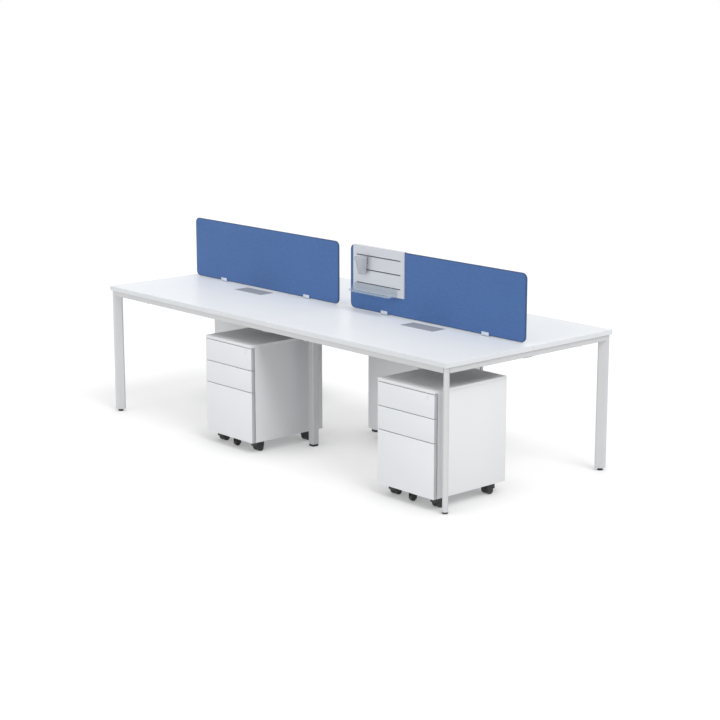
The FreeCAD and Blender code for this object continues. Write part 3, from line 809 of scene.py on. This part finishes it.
@dataclass
class ToolBoard:
    """Slotted board on the right screen, with its pen cup and clear tray."""

    slot_heights: tuple[float, ...] = (1.0563, 0.9803, 0.9043)
    slot_half: float = 0.003
    slot_left: float = 0.109
    slot_right: float = 0.455
    slot_depth: float = 0.005
    shade_sheet: float = 0.0007
    shade_sheet_softness: float = 0.0002
    hang_gap: float = 0.0003
    cup_middle: float = 0.182
    cup_base: float = 0.9576
    cup_height: float = 0.098
    cup_radii: tuple[float, float] = (0.022, 0.035)
    cup_wall: float = 0.002
    cup_foot: float = 0.002
    cup_rim: float = 0.0012
    cup_collar: tuple[float, float] = (0.006, 0.004)
    cup_plate: Point = (0.020, 0.003, 0.045)
    cup_plate_softness: float = 0.0008
    cup_tongue: float = 0.002
    cup_tongue_softness: float = 0.0005

    @property
    def face(self) -> float:
        """Place of the board's front face along Y."""
        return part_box("tool_board")[0][1]

    def build(self) -> None:
        """Dresses the board and builds the painted shade in its slots and what hangs on it."""
        dress_node("tool_board", FINISHES.board)
        # Painted shade: a near-black sheet at the floor of each blind slot stands in for the shade inside the
        # slots.
        shade_sheet = Maker()
        floor = self.face + self.slot_depth
        for height in self.slot_heights:
            shade_sheet.block((self.slot_left, floor - self.shade_sheet, height - self.slot_half),
                         (self.slot_right, floor, height + self.slot_half), self.shade_sheet_softness, segments=1)
        shade_sheet.piece("tool_board_slot_lining", "tool_board", "black_plastic", [FINISHES.slot_shade])
        self._cup()
        dress_node("letter_tray", FINISHES.clear)

    def _cup_profile(self) -> list[tuple[float, float]]:
        """Lays out the cup's outline.

        Returns:
            Radius and height of its points, up the outside and down the inside.
        """
        bottom, top = self.cup_radii
        wall, rim, foot, height = self.cup_wall, self.cup_rim, self.cup_foot, self.cup_height
        low, high = self.cup_collar
        outside = [(0.0, 0.0), (bottom - foot, 0.0), (bottom, foot), (top - rim / 2, height - low),
                   (top, height - high), (top, height - rim), (top - rim, height)]
        inside = [(top - wall, height - rim), (bottom - wall, wall + foot), (bottom - wall - foot, wall),
                  (0.0, wall)]
        return outside + inside

    def _cup(self) -> None:
        """Builds the turned cup, sheared to stand upright at its back, with its plate and tongue."""
        bottom, top = self.cup_radii
        half, sheet, drop = self.cup_plate
        x, back = self.cup_middle, self.face - self.hang_gap
        maker = Maker()
        maker.turned(self._cup_profile(), (x, back - sheet + self.cup_wall - top, self.cup_base), Axis.Z)
        rim = self.cup_base + self.cup_height
        lean = Matrix.Identity(4)
        lean[1][2] = (bottom - top) / self.cup_height
        maker.moved(Matrix.Translation((0.0, 0.0, rim)) @ lean @ Matrix.Translation((0.0, 0.0, -rim)))
        maker.block((x - half, back - sheet, rim - drop), (x + half, back, rim), self.cup_plate_softness)
        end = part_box("pen_cup")[1][1]
        maker.block((x - half, back - sheet, rim - self.cup_tongue), (x + half, end, rim),
                    self.cup_tongue_softness, segments=1)
        maker.piece("pen_cup_moulded", "pen_cup", "cup_plastic", [FINISHES.cup], ["pen_cup"])


@dataclass
class Pedestal:
    """One mobile pedestal: case, three drawers, lock and casters."""

    seat: Seat
    front_line: float = 0.600
    middles: dict[Seat, float] = field(default_factory=lambda: {
        Seat.FRONT_LEFT: -0.28, Seat.FRONT_RIGHT: 1.12, Seat.REAR_RIGHT: 0.28, Seat.REAR_LEFT: -1.12})
    half: float = 0.200
    depth: float = 0.500
    case_front: float = 0.026
    case_half_room: float = 0.184
    case_back: float = 0.492
    floor: tuple[float, float] = (0.062, 0.078)
    lift: float = 0.060
    case_top: float = 0.584
    top: float = 0.600
    front: float = 0.020
    box_half: float = 0.1715
    box_back: float = 0.474
    board: float = 0.012
    box_floor: float = 0.006
    runner: float = 0.006
    runner_back: float = 0.466
    runner_half_height: float = 0.012
    lip_share: float = 0.55
    front_softness: float = 0.0015
    case_softness: float = 0.0008
    panel_softness: float = 0.0005
    box_softness: float = 0.001
    box_floor_softness: float = 0.0004
    runner_softness: float = 0.0006
    edge_limit: float = 0.3
    fronts: dict[Drawer, tuple[float, float]] = field(default_factory=lambda: {
        Drawer.TOP: (0.463, 0.581), Drawer.MIDDLE: (0.342, 0.460), Drawer.FILE: (0.060, 0.339)})
    boxes: dict[Drawer, tuple[float, float]] = field(default_factory=lambda: {
        Drawer.TOP: (0.477, 0.551), Drawer.MIDDLE: (0.356, 0.430), Drawer.FILE: (0.082, 0.309)})
    casters: dict[str, tuple[float, float, bool]] = field(default_factory=lambda: {
        "near_left": (-0.150, 0.065, False), "near_right": (0.150, 0.065, False),
        "far_left": (-0.150, 0.440, True), "far_right": (0.150, 0.440, True)})

    @property
    def body(self) -> str:
        """Name of the pedestal's own body, with which its nodes' names start."""
        return self.seat.word + "_pedestal"

    @property
    def matrix(self) -> Matrix:
        """Place of the pedestal, turned for the rear side.

        Returns:
            The matrix that takes the pedestal's front centre from the origin to the floor of its seat.
        """
        side = self.seat.value[1]
        place = Matrix.Translation((self.middles[self.seat], side * self.front_line, 0.0))
        return place @ HALF_TURN if side > 0 else place

    def build(self) -> None:
        """Builds the case, the drawers, the lock and the casters."""
        self._case()
        for drawer in Drawer:
            self._drawer(drawer)
        dress_node(self.body + "_lock", FINISHES.chrome)
        for corner, (x, y, turned) in self.casters.items():
            pivot = self.matrix @ Matrix.Translation((x, y, 0.0))
            Caster(f"{self.body}_caster_{corner}", pivot @ HALF_TURN if turned else pivot).build()

    def _case(self) -> None:
        """Builds the case's boards and its fixed runner rails."""
        maker = Maker()
        inner = self.case_half_room
        maker.block((-self.half, 0.0, self.case_top), (self.half, self.depth, self.top),
                    self.front_softness, segments=3)
        for sign in (-1, 1):
            maker.block((sign * inner, self.case_front, self.lift),
                        (sign * self.half, self.depth, self.case_top), self.case_softness)
        maker.block((-inner, self.case_back, self.lift), (inner, self.depth, self.case_top),
                    self.panel_softness)
        maker.block((-inner, self.case_front, self.floor[0]), (inner, self.case_back, self.floor[1]),
                    self.panel_softness)
        maker.moved(self.matrix).piece(self.body + "_case_boards", self.body, "white_laminate",
                                       [FINISHES.case], [self.body + "_case"])
        rails = Maker()
        for drawer in Drawer:
            middle = sum(self.boxes[drawer]) / 2
            for sign in (-1, 1):
                self._runner(rails, sign * (inner - self.runner), sign * inner, middle)
        rails.moved(self.matrix).piece(self.body + "_fixed_runners", self.body, "white_laminate",
                                       [FINISHES.steel])

    def _runner(self, maker: Maker, x0: float, x1: float, middle: float) -> None:
        """Makes one runner rail with two rolled lips.

        Args:
            maker: the mesh that it joins.
            x0: place of its lips' outer face.
            x1: place of the face that is fixed.
            middle: height of its middle.
        """
        half = self.runner_half_height
        third = (x1 - x0) / 3
        maker.block((x0 + third, self.case_front, middle - half), (x1, self.runner_back, middle + half),
                    self.runner_softness)
        for sign in (-1, 1):
            maker.block((x0, self.case_front, middle + sign * half * self.lip_share),
                        (x0 + third, self.runner_back, middle + sign * half), self.runner_softness)

    def _drawer(self, drawer: Drawer) -> None:
        """Builds one drawer's front, box and moving runners.

        Args:
            drawer: the drawer.
        """
        body = f"{self.body}_drawer_{drawer.value}"
        low, high = self.fronts[drawer]
        front = Maker()
        faces = front.block((-self.half, 0.0, low), (self.half, self.front, high), self.front_softness,
                            segments=3)
        front.mesh.normal_update()
        # Painted shade: the fronts' side and back faces take the darker edge finish.
        for face in faces:
            if abs(face.normal.y) < self.edge_limit or face.normal.y > 0:
                face.material_index = FrontPart.EDGE
        front.moved(self.matrix).piece(body + "_front", body, "white_laminate",
                                       [FINISHES.front, FINISHES.edge], [body])
        floor, rim = self.boxes[drawer]
        inner, back = self.box_half - self.board, self.box_back - self.board
        boards = Maker()
        for sign in (-1, 1):
            boards.block((sign * inner, self.front, floor), (sign * self.box_half, self.box_back, rim),
                         self.box_softness)
        boards.block((-inner, back, floor), (inner, self.box_back, rim), self.box_softness)
        boards.block((-inner, self.front, floor), (inner, back, floor + self.box_floor),
                     self.box_floor_softness)
        boards.moved(self.matrix).piece(body + "_box", body, "white_laminate", [FINISHES.inner])
        if drawer is Drawer.FILE:
            SupportWheel(body, self.matrix).build()
        rails = Maker()
        for sign in (-1, 1):
            self._runner(rails, sign * (self.box_half + self.runner), sign * self.box_half, (floor + rim) / 2)
        rails.moved(self.matrix).piece(body + "_runners", body, "white_laminate", [FINISHES.steel])


@dataclass
class SupportWheel:
    """Bracket and wheel under a file drawer's front, which keep an open drawer from tipping."""

    body: str
    matrix: Matrix
    plate_half: float = 0.016
    plate_front: float = 0.010
    plate_bottom: float = 0.056
    plate_top: float = 0.060
    plate_softness: float = 0.0008
    cheek: tuple[float, float] = (0.0095, 0.0125)
    cheek_front: float = 0.037
    back: float = 0.071
    cheek_bottom: float = 0.013
    crown_bottom: float = 0.040
    cheek_top: float = 0.057
    cheek_softness: float = 0.001
    axle: tuple[float, float] = (0.054, 0.019)
    axle_radius: float = 0.0025
    axle_softness: float = 0.0004
    wheel_half: float = 0.009
    wheel_radius: float = 0.017

    def build(self) -> None:
        """Builds the plate, the forked bracket, the axle and the wheel as one piece."""
        maker = Maker()
        maker.block((-self.plate_half, self.plate_front, self.plate_bottom),
                    (self.plate_half, self.back, self.plate_top), self.plate_softness)
        inner, outer = self.cheek
        for sign in (-1, 1):
            maker.block((sign * inner, self.cheek_front, self.cheek_bottom),
                        (sign * outer, self.back, self.cheek_top), self.cheek_softness, segments=3)
        maker.block((-outer, self.cheek_front, self.crown_bottom), (outer, self.back, self.cheek_top),
                    self.cheek_softness, segments=3)
        maker.rod((-outer, *self.axle), Axis.X, self.axle_radius, 2 * outer, CasterPart.AXLE, segments=24,
                  softness=self.axle_softness)
        Wheel(self.wheel_radius, 2 * self.wheel_half).add(maker, (-self.wheel_half, *self.axle))
        maker.moved(self.matrix).piece(self.body + "_support_wheel", self.body, "black_plastic",
                                       [FINISHES.black, FINISHES.tread, FINISHES.steel])


@dataclass
class Wheel:
    """A wheel with a rounded tread, dished faces and a hub."""

    radius: float
    width: float
    dish: float = 0.0012
    softness: float = 0.0026
    round_share: float = 0.3
    rings: tuple[float, float, float, float] = (0.3, 0.34, 0.72, 0.78)

    def add(self, maker: Maker, start: Point) -> None:
        """Turns the wheel about X.

        Args:
            maker: the mesh that it joins.
            start: centre of its first face, from which it lies along X.
        """
        hub, well, web, tyre = (self.radius * share for share in self.rings)
        inset = self.softness * self.round_share
        half = [(0.0, 0.0), (hub, 0.0), (well, self.dish), (web, self.dish), (tyre, 0.0),
                (self.radius - self.softness, 0.0), (self.radius - inset, inset),
                (self.radius, self.softness)]
        profile = half + [(reach, self.width - height) for reach, height in reversed(half)]
        maker.turned(profile, start, Axis.X, CasterPart.TREAD, steps=40)


@dataclass
class Caster:
    """One hooded twin-wheel swivel caster, built about its pivot with its wheels trailing to +Y."""

    name: str
    matrix: Matrix
    trail: float = 0.016
    radius: float = 0.019
    width: float = 0.019
    web: float = 0.0055
    web_rim: float = 0.002
    web_front: float = -0.0084
    web_rise: float = 0.012
    web_softness: float = 0.0008
    gap: float = 0.0005
    well: float = 0.0198
    well_facets: int = 16
    hood_front: float = -0.014
    hood_back: float = 0.038
    hood_bottom: float = 0.026
    hood_top: float = 0.056
    softness: float = 0.003
    neck_radius: float = 0.009
    neck_high: float = 0.0617
    stem_radius: float = 0.005
    stem_top: float = 0.0697
    axle_radius: float = 0.0025
    axle_softness: float = 0.0003

    def build(self) -> None:
        """Builds the hood, the neck, the stem, the axle and the wheels as one piece."""
        maker = Maker()
        reach = self.web + self.gap + self.width
        self._hood(maker, reach)
        centre = (self.trail, self.radius)
        maker.rod((-self.web, *centre), Axis.X, self.radius - self.web_rim, 2 * self.web, CasterPart.PLASTIC,
                  segments=40, softness=self.web_softness)
        maker.rod((0.0, 0.0, self.hood_top), Axis.Z, self.neck_radius, self.neck_high - self.hood_top,
                  CasterPart.PLASTIC)
        maker.rod((0.0, 0.0, self.neck_high), Axis.Z, self.stem_radius, self.stem_top - self.neck_high,
                  CasterPart.AXLE, segments=24)
        maker.rod((-reach, *centre), Axis.X, self.axle_radius, 2 * reach, CasterPart.AXLE, segments=24,
                  softness=self.axle_softness)
        for start in (self.web + self.gap, -reach):
            Wheel(self.radius, self.width).add(maker, (start, *centre))
        maker.moved(self.matrix).piece(self.name + "_hood_and_wheels", self.name, "black_plastic",
                                       [FINISHES.black, FINISHES.tread, FINISHES.steel], [self.name])

    def _hood(self, maker: Maker, reach: float) -> None:
        """Makes the hood: a block with a round well over each wheel and a web between them.

        Args:
            maker: the mesh that it joins.
            reach: half its width.
        """
        mesh = maker.mesh
        rise = math.asin((self.hood_bottom - self.radius) / self.well)
        step = (math.pi - 2 * rise) / self.well_facets
        angles = [math.pi - rise - step * number for number in range(self.well_facets + 1)]
        arch = [(self.trail + self.well * math.cos(angle), self.radius + self.well * math.sin(angle))
                for angle in angles]
        rest = [(self.hood_back, self.hood_bottom), (self.hood_back, self.hood_top),
                (self.hood_front, self.hood_top), (self.hood_front, self.hood_bottom)]
        ring = [mesh.verts.new((-reach, y, z)) for y, z in arch + rest]
        grown = bmesh.ops.extrude_face_region(mesh, geom=[mesh.faces.new(ring)])["geom"]
        moved = [part for part in grown if isinstance(part, bmesh.types.BMVert)]
        bmesh.ops.translate(mesh, verts=moved, vec=(2 * reach, 0.0, 0.0))
        maker.soften([edge for edge in mesh.edges if self._outer(edge)], self.softness, segments=3)
        maker.block((-self.web, self.web_front, self.radius),
                    (self.web, self.trail, self.hood_bottom + self.web_rise), self.web_softness)

    def _outer(self, edge: bmesh.types.BMEdge) -> bool:
        """Tells the hood's outer edges from those of its wells.

        Args:
            edge: an edge of the hood.

        Returns:
            Whether it bounds the hood's top or runs up one of its corners.
        """
        ends = [corner.co.z for corner in edge.verts]
        topmost = all(abs(end - self.hood_top) < LEVEL for end in ends)
        upright = abs(ends[0] - ends[1]) > (self.hood_top - self.hood_bottom) / 2
        return topmost or upright


@dataclass
class Studio:
    """Pale floor, white surround, soft light and the camera."""

    camera_place: Point = (7.220, -6.376, 2.579)
    camera_turn: float = 48.069
    camera_tilt: float = -12.476
    lens: float = 89.08
    sensor: float = 36.0
    sight: float = 200.0
    floor_half: float = 60.0
    floor_colour: Colour = (0.46, 0.46, 0.46)
    floor_cloud: float = 0.7
    floor_tone: float = 0.995
    floor_glow: float = 0.60
    floor_spill: float = 0.5
    # Painted contact shadow: reach, glow and samples of the occlusion that darkens the floor near the desk.
    contact: float = 0.3
    painted_shadow_glow: float = 0.3
    contact_samples: int = 8
    ambient: tuple[float, float] = (0.30, 0.62)
    lamps: dict[str, tuple[Point, float, float]] = field(default_factory=lambda: {
        "key_light": ((4.9, -0.7, 6.0), 30.0, 1.7),
        "fill_light": ((-0.4, -6.0, 1.4), 50.0, 0.9),
        "back_light": ((-3.0, 4.0, 3.0), 60.0, 0.35)})

    def build(self) -> None:
        """Builds the floor, the world, the lamps and the camera."""
        self._floor()
        self._world()
        for name, (place, spread, strength) in self.lamps.items():
            self._lamp(name, place, spread, strength)
        self._camera()

    def _floor(self) -> None:
        """Lays the floor, which glows white to the eye, with a painted contact shadow where something stands
        close over it, and glows more faintly as painted light onto the desk.
        """
        mesh = bmesh.new()
        bmesh.ops.create_grid(mesh, x_segments=1, y_segments=1, size=self.floor_half)
        data = bpy.data.meshes.new("studio_floor")
        mesh.to_mesh(data)
        mesh.free()
        paint = bpy.data.materials.new("studio_floor_paint")
        graph = Graph(paint)
        darker = tinted(self.floor_colour, self.floor_tone)
        tone = graph.blend(graph.noise(self.floor_cloud), darker, self.floor_colour)
        # Painted shadow: occlusion dims the glow that the eye sees where something stands close over the
        # floor.
        open_share = graph.node("ShaderNodeAmbientOcclusion", {"samples": self.contact_samples},
                                {"Distance": self.contact}, result="AO")
        shadowed = graph.blend(open_share, tinted(WHITE, self.painted_shadow_glow), WHITE)
        # Painted light: to rays that light the desk the floor glows at the spill share, lighting it from
        # below.
        glow = graph.blend(graph.seen(), tinted(WHITE, self.floor_spill), shadowed)
        graph.shade(Base_Color=tone, Roughness=0.9, Specular_IOR_Level=0.0, Emission_Color=glow,
                    Emission_Strength=self.floor_glow)
        data.materials.append(paint)
        floor = bpy.data.objects.new("studio_floor", data)
        bpy.context.scene.collection.objects.link(floor)

    def _world(self) -> None:
        """Lights the scene from all round, most from above, and shows white behind it."""
        world = bpy.data.worlds.new("studio_world")
        bpy.context.scene.world = world
        graph = Graph(world)
        low, high = self.ambient
        height = graph.parts(graph.node("ShaderNodeTexCoord", result="Generated"))[2].ramp(0.0, 1.0)
        strength = height * (high - low) + low
        soft = graph.node("ShaderNodeBackground", {}, {"Color": WHITE, "Strength": strength})
        white = graph.node("ShaderNodeBackground", {}, {"Color": WHITE})
        graph.close("ShaderNodeOutputWorld",
                    graph.node("ShaderNodeMixShader", {}, {0: graph.seen(), 1: soft, 2: white}))

    @staticmethod
    def _lamp(name: str, place: Point, spread: float, strength: float) -> None:
        """Hangs a far, broad lamp that shines at the floor's middle.

        Args:
            name: the lamp's name.
            place: where it shines from.
            spread: how wide it looks, in degrees.
            strength: its strength.
        """
        data = bpy.data.lights.new(name, "SUN")
        data.angle = math.radians(spread)
        data.energy = strength
        lamp = bpy.data.objects.new(name, data)
        lamp.location = place
        lamp.rotation_euler = (-Vector(place)).to_track_quat("-Z", "Y").to_euler()
        bpy.context.scene.collection.objects.link(lamp)

    def _camera(self) -> None:
        """Sets the camera at the photograph's place."""
        data = bpy.data.cameras.new("photo_camera")
        data.sensor_width = self.sensor
        data.lens = self.lens
        data.clip_end = self.sight
        camera = bpy.data.objects.new("photo_camera", data)
        camera.location = self.camera_place
        camera.rotation_euler = (math.radians(90.0 + self.camera_tilt), 0.0, math.radians(self.camera_turn))
        bpy.context.scene.collection.objects.link(camera)
        bpy.context.scene.camera = camera


def main() -> None:
    """Builds and dresses every sub-assembly in order."""
    logging.basicConfig(level=logging.INFO, format="%(message)s")
    bpy.context.scene.view_settings.view_transform = "Standard"
    Studio().build()
    DeskFrame().build()
    for side in (-1, 1):
        Screen(side).build()
    ScreenClips().build()
    CableFlaps().build()
    ToolBoard().build()
    for seat in Seat:
        Pedestal(seat).build()


if __name__ == "__main__":
    main()
